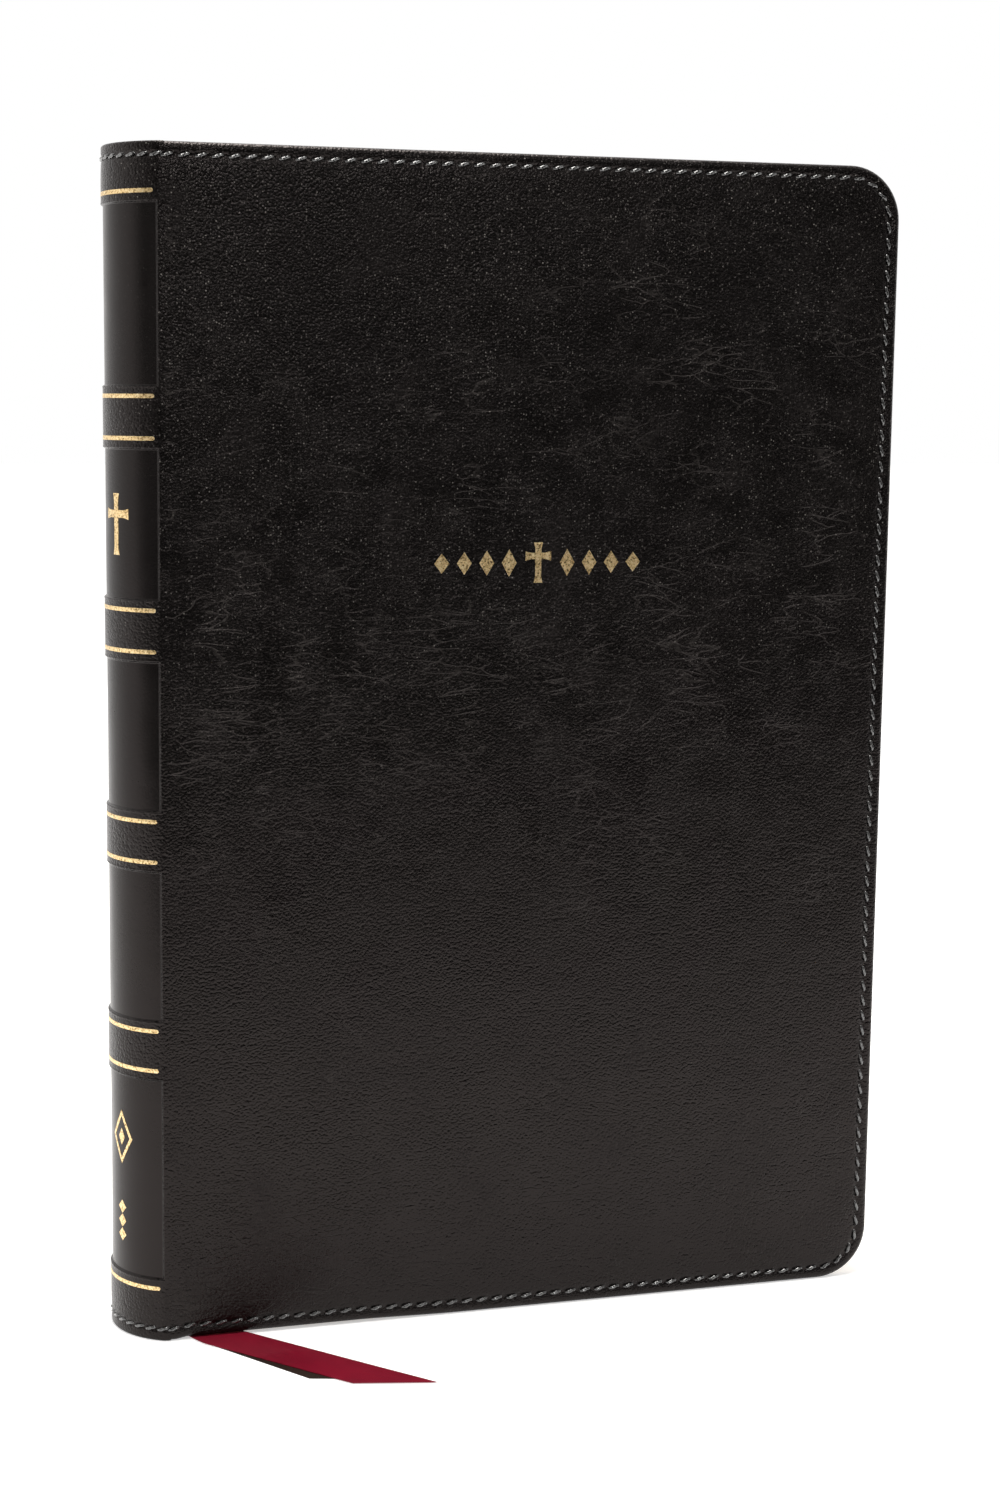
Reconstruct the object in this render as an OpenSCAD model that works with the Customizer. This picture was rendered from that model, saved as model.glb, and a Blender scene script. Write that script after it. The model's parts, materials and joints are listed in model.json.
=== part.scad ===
// Bible with a flexible stitched cover, a sewn text block and two ribbon markers, standing closed.
// +X runs from the spine to the fore-edge, +Y from the front cover to the back cover, +Z from tail to head.
// The origin is the middle of the spine's tail edge, halfway through its leather. Millimetres.

/* [Cover] */
// Height of the cover, tail to head
cover_h = 246; // [200:1:280]
// Width of a cover, from the spine's edge to the fore-edge
cover_w = 160; // [140:1:190]
// Thickness of the closed book
book_t = 28; // [26:0.5:34]
// Radius of the covers' fore-edge corners
corner_r = 11.5; // [6:0.5:20]
// Thickness of the padded leather
leather_t = 1.1; // [0.8:0.1:1.2]
// Thickness of the board inside each cover
board_t = 1.0; // [0.6:0.1:1.2]
// Thickness of the liner that the leather is stitched to
liner_t = 0.4; // [0.3:0.1:0.5]
// Height of the front cover's tail edge over the markers that lie under it
tail_lift = 0.4; // [0.4:0.1:0.8]

/* [Spine] */
// How far the spine bulges behind the covers' spine edges
spine_bulge = 9.7; // [8:0.1:10]
// Radius where the spine turns into a cover
shoulder_r = 3; // [2.9:0.1:4]
// Height of the gold rule nearest the tail
tail_rule_z = 11.4; // [8:0.1:14]
// Height of the gold rule nearest the head
head_rule_z = 236.4; // [220:0.1:238]
// Distance between the two rules of a raised band
band_w = 8.4; // [6:0.1:10]
// Width of a gold rule
rule_w = 0.9; // [0.5:0.1:1.5]
// Depth of the smooth panels between the bands
panel_depth = 0.4; // [0.2:0.1:0.5]
// Turn of the spine's gold marks from its middle towards the front, in degrees
mark_turn = 22; // [0:1:30]

/* [Stitching] */
// Distance from the cover's edge to the line of stitches
stitch_inset = 2.6; // [2:0.1:4]
// Thickness of the thread
thread_d = 0.8; // [0.5:0.1:1]

/* [Text block] */
// Distance from the text block to the covers' edges at head and tail
square_end = 3; // [2:0.5:5]
// Distance from the outer leaves' fore-edge to the covers' fore-edge
square_fore = 4; // [3:0.5:8]
// Radius of the pages' fore-edge corners
page_corner_r = 9; // [4:0.5:14]
// Thickness of a flyleaf
flyleaf_t = 0.3; // [0.2:0.05:0.4]

/* [Markers] */
// Width of a ribbon marker
marker_w = 10; // [6:0.5:10]
// Thickness of a ribbon marker
marker_t = 0.15; // [0.1:0.01:0.16]

/* [Hidden] */
$fn = 96;

// Materials' stand-in colours
leather_colour = [0.06, 0.055, 0.055];
board_colour = [0.55, 0.47, 0.36];
paper_colour = [0.93, 0.91, 0.85];
gold_colour = [0.83, 0.68, 0.36];
thread_colour = [0.03, 0.03, 0.03];

// Widths of the spine's arc behind the joint line, which is where the spine meets a cover
half_t = book_t / 2;
joint_x = spine_bulge - leather_t / 2;
shoulder_turn = 90 - 2 * atan((spine_bulge - shoulder_r) / (half_t - shoulder_r));
arc_k = (half_t - shoulder_r) / cos(shoulder_turn);
arc_r = arc_k + shoulder_r;
arc_x = arc_k * sin(shoulder_turn);

// Depths below the spine's outer face
stiffener_t = 0.6;
hollow_t = 0.4;
kraft_t = 0.25;
mull_t = 0.25;
kraft_depth = leather_t + stiffener_t + hollow_t;
mull_depth = kraft_depth + kraft_t;
fold_depth = mull_depth + mull_t;
fold_r = arc_r - fold_depth;

// Bands and rules of the spine
band_z = [62.4, 106.2, 149.3, 192.1];
rule_z = concat([tail_rule_z], [for (z = band_z, s = [-1, 1]) z + s * band_w / 2], [head_rule_z]);
panel_margin = 1.9;
rule_depth = 0.15;
rule_end_x = -1.5;
panel_end_x = -0.9;
plan_lap = 0.1;

// Cover layers, counted inwards from the outer face
pastedown_t = 0.2;
board_clear = 0.05;
cover_t = leather_t + board_t + liner_t + pastedown_t;
cover_gap = 0.15;
hinge_x = 2;
hinge_gap = 0.3;
cover_x = hinge_x + hinge_gap / 2;
flap_x = hinge_x - hinge_gap / 2;
board_x = 7;
board_inset = 5;
pastedown_x = 4;
pastedown_inset = 4;
groove_d = 0.35;
lift_end_x = 64;

// Layers of the text block, counted inwards from a cover; a wider gap takes a marker
block_h = cover_h - 2 * square_end;
page_w = cover_w - square_fore - arc_x + sqrt(pow(fold_r, 2) - pow(half_t - cover_t - cover_gap, 2));
leaf_gap = 0.08;
marker_gap = marker_t + 0.15;
block_half = half_t - cover_t - cover_gap;
signature_t = (block_half - flyleaf_t - 4.5 * leaf_gap - marker_gap) / 5;
turn_x = [6.1, 6.5, 7.8, 8.4, 8.4, 8.4];
turn_gap = 0.1;

// Outer face of the k-th layer from a cover: 0 is the flyleaf, 1 to 5 are signatures
function layer_out(k) =
    k == 0 ? block_half
    : block_half - flyleaf_t - leaf_gap - (k - 1) * (signature_t + leaf_gap)
      - (k == 5 ? marker_gap - leaf_gap : 0);
function fore_edge_x(y) = arc_x + page_w - sqrt(pow(fold_r, 2) - pow(y, 2));
marker_y = layer_out(5) + marker_gap / 2;

// Sewing stations: kettle stitches at the ends and paired stations between them
sewing_z = [14, 54, 62, 119, 127, 184, 192, 232];
sewing_w = 0.8;
sewing_d = 0.4;
band_d = 1.6;
band_half = 9.5;

// Centres of each marker with the turn of its width about Z, and the stretch of its slanted end
// x, y, z, turn in degrees, width as a share of the marker's width
red_route = [
    [6.2, -marker_y, 242.6, 0, 1], [6.2, -marker_y, 130, 0, 1], [6.2, -marker_y, 10, 0, 1],
    [6.2, -marker_y, 3.2, 0, 1], [6.2, -marker_y - 0.2, 2.2, 2, 1], [6.3, -marker_y - 1, 1.1, 6, 1],
    [6.6, -marker_y - 2.6, 0.5, 12, 1], [8.1, -8.2, 0.27, 22, 1], [10.6, -14, 0.26, 36, 1],
    [13.4, -17.4, 0.26, 40.5, 1], [22, -27.5, 0.26, 40.5, 1], [31, -38, 0.26, 40.5, 1],
    [39.7, -48, 0.26, -13.3, 1.69]
];
dark_route = [
    [5.6, marker_y, 242.6, 0, 1], [5.6, marker_y, 130, 0, 1], [5.6, marker_y, 10, 0, 1],
    [5.6, marker_y, 3.2, 0, 1], [5.6, marker_y - 0.2, 2.1, 0, 1], [5.7, marker_y - 1, 0.9, 2, 1],
    [5.9, marker_y - 2.8, 0.25, 6, 1], [7.4, -5, 0.085, 16, 1], [9.3, -10, 0.085, 26, 1],
    [11.3, -14, 0.085, 34, 1], [16.8, -22.1, 0.085, 34.3, 1], [24.6, -33.5, 0.085, 34.3, 1],
    [31.3, -43.3, 0.085, -16.5, 1.58]
];

// Plan outline of the spine at a depth below its outer face, from its bulge to the flaps on the covers
module spine_plan(depth) {
    r = shoulder_r - depth;
    core_y = half_t - shoulder_r;
    end_x = -r * sin(shoulder_turn);
    intersection() {
        translate([arc_x, 0]) circle(r = arc_r - depth);
        translate([end_x - 20, -book_t]) square([20, 2 * book_t]);
    }
    for (side = [-1, 1]) translate([0, side * core_y]) circle(r = r);
    translate([end_x - plan_lap, -core_y]) square([plan_lap - end_x + flap_x, 2 * core_y]);
    translate([0, depth - half_t]) square([flap_x, 2 * (half_t - depth)]);
}

// Part of the spine between two depths, from end_x back to the bulge
module spine_shell(outer, inner, z, h, end_x) {
    translate([0, 0, z]) linear_extrude(h) intersection() {
        difference() {
            spine_plan(outer);
            spine_plan(inner);
        }
        translate([end_x - 20, -book_t]) square([20, 2 * book_t]);
    }
}

// Arc round the text block's back, between two depths, within a half width of the book's middle
module back_arc(outer, inner, z, h, half_width) {
    translate([0, 0, z]) linear_extrude(h) intersection() {
        translate([arc_x, 0]) difference() {
            circle(r = arc_r - outer);
            circle(r = arc_r - inner);
        }
        translate([-20, -half_width]) square([20, 2 * half_width]);
    }
}

// Outline of a plate seen from the front: square at the spine, round at the fore-edge corners
module plate_outline(x0, x1, z0, z1, r) {
    translate([x0, z0]) square([x1 - x0 - r, z1 - z0]);
    translate([x0, z0 + r]) square([x1 - x0, z1 - z0 - 2 * r]);
    for (z = [z0 + r, z1 - r]) translate([x1 - r, z]) circle(r = r);
}

// Children's outline, drawn in X and Z, as a plate from y0 to y1
module upright(y0, y1) {
    translate([0, y1, 0]) rotate([90, 0, 0]) linear_extrude(y1 - y0) children();
}

// Cover plate inset from the cover's edges, starting at x0
module cover_plate(x0, inset, y0, y1) {
    upright(y0, y1)
        plate_outline(x0, cover_w - inset, inset, cover_h - inset, corner_r - inset);
}

// Thread line round a cover, as deep as groove_d
module cover_thread() {
    outer = stitch_inset - thread_d / 2;
    inner = stitch_inset + thread_d / 2;
    upright(-half_t, -half_t + groove_d) difference() {
        plate_outline(cover_x, cover_w - outer, outer, cover_h - outer, corner_r - outer);
        plate_outline(cover_x - 1, cover_w - inner, inner, cover_h - inner, corner_r - inner);
    }
}

// Thread across the spine and its flaps
module spine_thread() {
    for (z = [stitch_inset, cover_h - stitch_inset])
        spine_shell(0, groove_d, z - thread_d / 2, thread_d, flap_x);
}

// Small upright cross with arms that end square
module cross_shape(h, w, bar) {
    translate([-bar / 2, -h / 2]) square([bar, h]);
    translate([-w / 2, h / 6 - bar / 2]) square([w, bar]);
}

module lozenge_shape(h, w) {
    polygon([[0, -h / 2], [w / 2, 0], [0, h / 2], [-w / 2, 0]]);
}

// Ornament of the front cover: a cross between two rows of lozenges
module front_mark_shape() {
    cross_shape(8.4, 5.6, 1.3);
    for (side = [-1, 1], k = [0:3]) translate([side * (6.4 + k * 4.9), 0]) lozenge_shape(5.6 - k * 0.5, 3.2);
}

module front_mark(depth) {
    translate([79.2, 0, 162.4]) upright(-half_t, -half_t + depth) front_mark_shape();
}

// Marks of the spine: a cross in the second panel, an open lozenge and three studs in the lowest one
module spine_mark_shape() {
    translate([0, 170.6]) cross_shape(12.4, 8, 1.4);
    translate([0, 42.6]) difference() {
        lozenge_shape(11.5, 7.2);
        lozenge_shape(9, 5.6);
    }
    translate([0, 42.6]) lozenge_shape(3.6, 2.2);
    for (k = [-1:1]) translate([0, 24.4 + k * 3]) lozenge_shape(2.8, 2.8);
}

module spine_marks(depth) {
    intersection() {
        spine_shell(panel_depth, panel_depth + depth, 0, cover_h, 0);
        translate([arc_x, 0, 0]) rotate([0, 0, mark_turn]) translate([-arc_r - 2, 0, 0])
            rotate([90, 0, 90]) linear_extrude(8) mirror([1, 0]) spine_mark_shape();
    }
}

module spine_rules() {
    for (z = rule_z) spine_shell(0, rule_depth, z - rule_w / 2, rule_w, rule_end_x);
}

module spine_leather() {
    color(leather_colour) translate([joint_x, 0, 0]) difference() {
        spine_shell(0, leather_t, 0, cover_h, flap_x);
        for (k = [0:4]) spine_shell(
            -1, panel_depth, rule_z[2 * k] + panel_margin,
            rule_z[2 * k + 1] - rule_z[2 * k] - 2 * panel_margin, panel_end_x
        );
        spine_rules();
        spine_marks(rule_depth);
        spine_thread();
    }
}

module spine_gold_rules() {
    color(gold_colour) translate([joint_x, 0, 0]) spine_rules();
}

module spine_gold_marks() {
    color(gold_colour) translate([joint_x, 0, 0]) spine_marks(rule_depth);
}

module spine_stitching() {
    color(thread_colour) translate([joint_x, 0, 0]) spine_thread();
}

module spine_stiffener() {
    color(board_colour) translate([joint_x, 0, 0])
        spine_shell(leather_t, leather_t + stiffener_t, square_end, block_h, -1.2);
}

module spine_kraft_lining() {
    color([0.66, 0.5, 0.32]) translate([joint_x, 0, 0])
        spine_shell(kraft_depth, mull_depth, 8, cover_h - 16, -0.6);
}

module spine_mull() {
    color([0.85, 0.83, 0.76]) translate([joint_x, 0, 0])
        spine_shell(mull_depth, fold_depth, 12, cover_h - 24, -0.4);
}

module thread_runs() {
    for (z = sewing_z) back_arc(fold_depth, fold_depth + sewing_d, z - sewing_w / 2, sewing_w, band_half);
}

module sewing_threads() {
    color([0.9, 0.88, 0.8]) translate([joint_x, 0, 0]) thread_runs();
}

// Glued backs of all the gatherings, stepped to where each layer starts to turn
module text_block_spine() {
    color(paper_colour) translate([joint_x, 0, 0]) difference() {
        translate([0, 0, square_end]) linear_extrude(block_h) {
            intersection() {
                spine_plan(fold_depth);
                translate([-20, -block_half]) square([20, 2 * block_half]);
            }
            for (k = [0:5]) translate([-0.5, -layer_out(k)])
                square([turn_x[k] - turn_gap + 0.5, 2 * layer_out(k)]);
        }
        thread_runs();
        for (side = [-1, 1]) translate([0.3, side * marker_y - marker_gap / 2, 0])
            cube([20, marker_gap, cover_h]);
    }
}

module band(z) {
    translate([joint_x, 0, 0]) back_arc(fold_depth - 0.3, fold_depth - 0.3 + band_d, z, band_d, band_half);
}

module head_band() {
    color([0.75, 0.62, 0.3]) band(cover_h - square_end);
}

module tail_band() {
    color([0.75, 0.62, 0.3]) band(square_end - band_d);
}

// One layer of leaves behind the front cover, k layers in, t thick
module leaves(k, t) {
    out = layer_out(k);
    end_x = fore_edge_x(out);
    color(paper_colour) translate([joint_x, 0, 0]) intersection() {
        translate([0, 0, square_end]) linear_extrude(block_h) difference() {
            translate([turn_x[k], -out]) square([end_x - turn_x[k], t]);
            translate([arc_x + page_w, 0]) circle(r = fold_r);
        }
        upright(-out - 1, -out + t + 1)
            plate_outline(turn_x[k], end_x, square_end, cover_h - square_end, page_corner_r);
    }
}

// Gathering i, counted from the front cover
module signature(i) {
    if (i <= 5) leaves(i, signature_t);
    else mirror([0, 1, 0]) leaves(11 - i, signature_t);
}

module front_flyleaf() leaves(0, flyleaf_t);

module back_flyleaf() mirror([0, 1, 0]) leaves(0, flyleaf_t);

// Leather of one cover, with the pocket for its board and the groove for its thread
module plain_cover_leather() {
    difference() {
        cover_plate(cover_x, 0, -half_t, -half_t + leather_t + board_t);
        cover_plate(board_x, board_inset, -half_t + leather_t, -half_t + 2 * leather_t + board_t);
        cover_thread();
    }
}

module board() {
    color(board_colour) translate([joint_x, 0, 0]) cover_plate(
        board_x + board_clear, board_inset + board_clear,
        -half_t + leather_t, -half_t + leather_t + board_t
    );
}

module liner() {
    cover_plate(cover_x, 0, -half_t + leather_t + board_t, -half_t + cover_t - pastedown_t);
}

module pastedown() {
    color(paper_colour) translate([joint_x, 0, 0])
        cover_plate(pastedown_x, pastedown_inset, -half_t + cover_t - pastedown_t, -half_t + cover_t);
}

// Room over the markers where the front cover passes across them
module marker_room() {
    translate([0, -half_t - 1, -1]) cube([lift_end_x, cover_t + 2, 1 + tail_lift]);
}

module front_cover_leather() {
    color(leather_colour) translate([joint_x, 0, 0]) difference() {
        plain_cover_leather();
        front_mark(rule_depth);
        marker_room();
    }
}

module front_liner() {
    color(thread_colour) translate([joint_x, 0, 0]) difference() {
        liner();
        marker_room();
    }
}

module front_board() board();

module front_pastedown() pastedown();

module front_stitching() {
    color(thread_colour) translate([joint_x, 0, 0]) cover_thread();
}

module front_gold_mark() {
    color(gold_colour) translate([joint_x, 0, 0]) front_mark(rule_depth);
}

module back_cover_leather() {
    color(leather_colour) translate([joint_x, 0, 0]) mirror([0, 1, 0]) plain_cover_leather();
}

module back_liner() {
    color(thread_colour) translate([joint_x, 0, 0]) mirror([0, 1, 0]) liner();
}

module back_board() mirror([0, 1, 0]) board();

module back_pastedown() mirror([0, 1, 0]) pastedown();

module back_stitching() {
    color(thread_colour) translate([joint_x, 0, 0]) mirror([0, 1, 0]) cover_thread();
}

// Flat strip through the stations of a route
module strip(route) {
    last = len(route) - 1;
    rings = [for (i = [0:last]) let(
        c = [route[i].x, route[i].y, route[i].z],
        a = route[max(i - 1, 0)],
        b = route[min(i + 1, last)],
        w = marker_w / 2 * route[i][4] * [cos(route[i][3]), sin(route[i][3]), 0],
        up = cross(w, [b.x - a.x, b.y - a.y, b.z - a.z]),
        k = up / norm(up) * marker_t / 2
    ) [c - w - k, c + w - k, c + w + k, c - w + k]];
    sides = [for (i = [0:last - 1], j = [0:3]) let(
        p = 4 * i + j,
        q = 4 * i + (j + 1) % 4
    ) each j < 2 ? [[p, q, q + 4], [p, q + 4, p + 4]] : [[p, q, p + 4], [q, q + 4, p + 4]]];
    ends = [[0, 2, 1], [0, 3, 2], 4 * last * [1, 1, 1] + [0, 1, 2], 4 * last * [1, 1, 1] + [0, 2, 3]];
    translate([joint_x, 0, 0]) polyhedron([for (r = rings) each r], concat(sides, ends));
}

module ribbon_red() {
    color([0.45, 0.07, 0.13]) strip(red_route);
}

module ribbon_dark() {
    color([0.16, 0.12, 0.1]) strip(dark_route);
}

spine_leather();
spine_gold_rules();
spine_gold_marks();
spine_stitching();
spine_stiffener();
spine_kraft_lining();
spine_mull();
sewing_threads();
text_block_spine();
head_band();
tail_band();
signature(5);  // signature_05
signature(6);  // signature_06
ribbon_red();
ribbon_dark();
front_cover_leather();
front_board();
front_liner();
front_pastedown();
front_stitching();
front_gold_mark();
front_flyleaf();
signature(1);  // signature_01
signature(2);  // signature_02
signature(3);  // signature_03
signature(4);  // signature_04
signature(7);  // signature_07
signature(8);  // signature_08
signature(9);  // signature_09
signature(10);  // signature_10
back_flyleaf();
back_cover_leather();
back_board();
back_liner();
back_pastedown();
back_stitching();
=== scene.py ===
# Looks of a bible: a stitched black leather cover with sunk panels in its spine, a sewn page block with gilt
# edges, and two satin ribbon markers. Lengths are in metres, in the frame of the CAD part.
import json
import math

import bmesh
import bpy
import numpy as np
from mathutils import Matrix, Vector


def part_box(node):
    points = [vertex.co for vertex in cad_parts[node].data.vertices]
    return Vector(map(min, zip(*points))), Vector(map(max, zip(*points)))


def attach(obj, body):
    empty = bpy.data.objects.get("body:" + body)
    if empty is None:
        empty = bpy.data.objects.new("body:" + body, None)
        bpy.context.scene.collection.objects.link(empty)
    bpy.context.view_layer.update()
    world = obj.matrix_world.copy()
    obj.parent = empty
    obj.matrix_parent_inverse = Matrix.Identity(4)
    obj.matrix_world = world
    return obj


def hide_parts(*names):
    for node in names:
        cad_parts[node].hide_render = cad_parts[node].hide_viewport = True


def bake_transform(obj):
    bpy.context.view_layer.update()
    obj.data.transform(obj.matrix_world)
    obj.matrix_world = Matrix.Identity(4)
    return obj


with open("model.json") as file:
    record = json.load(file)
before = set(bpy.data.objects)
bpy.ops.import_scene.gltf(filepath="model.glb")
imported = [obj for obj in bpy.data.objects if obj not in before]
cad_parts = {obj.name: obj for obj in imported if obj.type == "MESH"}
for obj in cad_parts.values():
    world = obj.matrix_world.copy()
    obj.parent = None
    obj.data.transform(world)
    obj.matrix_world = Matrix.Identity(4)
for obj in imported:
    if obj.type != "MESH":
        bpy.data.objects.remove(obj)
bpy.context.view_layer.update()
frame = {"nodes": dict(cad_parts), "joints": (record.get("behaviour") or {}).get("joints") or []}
MM = 0.001

# -------- sizes, from the frame
JOINTS = {j["name"]: j for j in frame["joints"]}
HINGE_X = JOINTS["front_cover_hinge"]["pos_m"][0]
JOINT_X = HINGE_X - 2 * MM                      # where the spine meets a cover
LEATHER_LOW, LEATHER_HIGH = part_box("front_cover_leather")
SPINE_LOW, SPINE_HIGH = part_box("spine_leather")
HALF_T = SPINE_HIGH.y
COVER_H = SPINE_HIGH.z
FORE_X = LEATHER_HIGH.x
CORNER_R = 11.5 * MM
LEATHER_T = 1.1 * MM
COVER_LEATHER_T = LEATHER_HIGH.y - LEATHER_LOW.y
LINER_T = 0.4 * MM
PANEL_DEPTH = 0.4 * MM
BULGE = JOINT_X - SPINE_LOW.x
SHOULDER_R = 3 * MM
SHOULDER_TURN = math.pi / 2 - 2 * math.atan((BULGE - SHOULDER_R) / (HALF_T - SHOULDER_R))
ARC_K = (HALF_T - SHOULDER_R) / math.cos(SHOULDER_TURN)
ARC_R = ARC_K + SHOULDER_R
ARC_X = ARC_K * math.sin(SHOULDER_TURN)
FOLD_R = ARC_R - 2.6 * MM
PAGE_Z0, PAGE_Z1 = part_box("signature_05")[0].z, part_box("signature_05")[1].z
PAGE_CORNER_R = 9 * MM
SEAM_INSET = 2.6 * MM
STITCH_PITCH = 3.4 * MM
THREAD_R = 0.36 * MM
INNER_STITCH_SINK = 0.15 * MM
PANEL_SIDE, PANEL_BEVEL = 0.9 * MM, 0.42 * MM   # plain strip beside a sunk panel, and the panel's bevel
FOIL_LIFT = 0.01 * MM
SEAM_X = JOINT_X + 0.4 * MM                     # where the spine's mesh meets a cover's mesh
BEND_END_X = JOINT_X + 3.9 * MM
RULE_W = 0.9 * MM
BAND_W = 8.4 * MM
BANDS = [z * MM for z in (62.4, 106.2, 149.3, 192.1)]
TAIL_RULE, HEAD_RULE = 11.4 * MM, 236.4 * MM
RULES = [TAIL_RULE] + [z + s * BAND_W / 2 for z in BANDS for s in (-1, 1)] + [HEAD_RULE]
PANELS = [(RULES[2 * k] + 1.9 * MM, RULES[2 * k + 1] - 1.9 * MM) for k in range(5)]


# -------- materials
class Graph:
    """A material's node tree, built one node per call. Inputs are sockets or plain values."""

    def __init__(self, name):
        self.material = bpy.data.materials.new(name)
        self.material.use_nodes = True
        self.tree = self.material.node_tree
        self.shader = self.tree.nodes["Principled BSDF"]

    def node(self, kind, inputs=None, **settings):
        made = self.tree.nodes.new("ShaderNode" + kind)
        for key, value in settings.items():
            setattr(made, key, value)
        for key, value in (inputs or {}).items():
            self.plug(value, made.inputs[key])
        return made

    def plug(self, value, socket):
        if isinstance(value, bpy.types.NodeSocket):
            self.tree.links.new(value, socket)
        else:
            socket.default_value = value

    def set(self, **inputs):
        for key, value in inputs.items():
            self.plug(value, self.shader.inputs[key.replace("_", " ")])

    def place(self, scale=(1, 1, 1), rotation=(0, 0, 0), source="Object"):
        at = self.node("TexCoord").outputs[source]
        return self.node("Mapping", {"Vector": at, "Scale": scale, "Rotation": rotation}).outputs["Vector"]

    def noise(self, at, scale, detail=3.0, roughness=0.5):
        inputs = {"Vector": at, "Scale": scale, "Detail": detail, "Roughness": roughness}
        return self.node("TexNoise", inputs).outputs["Fac"]

    def cells(self, at, scale, feature="F1", output="Distance"):
        return self.node("TexVoronoi", {"Vector": at, "Scale": scale}, feature=feature).outputs[output]

    def math(self, operation, a, b):
        return self.node("Math", {0: a, 1: b}, operation=operation).outputs[0]

    def times(self, a, b):
        return self.math("MULTIPLY", a, b)

    def vector(self, operation, inputs):
        return self.node("VectorMath", inputs, operation=operation).outputs[0]

    def span(self, value, low, high, to_low=0.0, to_high=1.0, smooth=False):
        inputs = {"Value": value, "From Min": low, "From Max": high, "To Min": to_low, "To Max": to_high}
        kind = "SMOOTHSTEP" if smooth else "LINEAR"
        return self.node("MapRange", inputs, interpolation_type=kind).outputs["Result"]

    def warp(self, at, scale, amount):
        """at, shifted by a noise."""
        noise = self.node("TexNoise", {"Vector": at, "Scale": scale, "Detail": 2.0})
        centred = self.vector("SUBTRACT", {0: noise.outputs["Color"], 1: (0.5, 0.5, 0.5)})
        return self.vector("ADD", {0: at, 1: self.vector("SCALE", {0: centred, "Scale": amount})})

    def ramp(self, value, *stops):
        made = self.node("ValToRGB", {"Fac": value})
        elements = made.color_ramp.elements
        while len(elements) < len(stops):
            elements.new(0.5)
        for element, (at, colour) in zip(elements, stops):
            element.position = at
            element.color = (*colour, 1)
        return made.outputs["Color"]

    def blend(self, fac, a, b):
        made = self.node("Mix", {"Factor": fac}, data_type="RGBA")
        for socket, value in zip((s for s in made.inputs if s.type == "RGBA"), (a, b)):
            self.plug(value if isinstance(value, bpy.types.NodeSocket) else (*value, 1), socket)
        return next(s for s in made.outputs if s.type == "RGBA")

    def band(self, at, scale, level, high, detail=2.0, roughness=0.5):
        """A noise cut to 0 below level and 1 above high, with soft borders."""
        return self.span(self.noise(at, scale, detail, roughness), level, high, smooth=True)

    def edges(self, at, scale, width):
        """1 on the borders between cells, down to 0 at that distance from them."""
        return self.span(self.cells(at, scale, "DISTANCE_TO_EDGE"), 0.0, width, 1.0, 0.0, True)

    def bump(self, height, distance, strength=1.0, normal=None):
        inputs = {"Height": height, "Distance": distance, "Strength": strength}
        if normal is not None:
            inputs["Normal"] = normal
        return self.node("Bump", inputs).outputs["Normal"]

    def attribute(self, name):
        return self.node("Attribute", attribute_name=name).outputs["Fac"]


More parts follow.
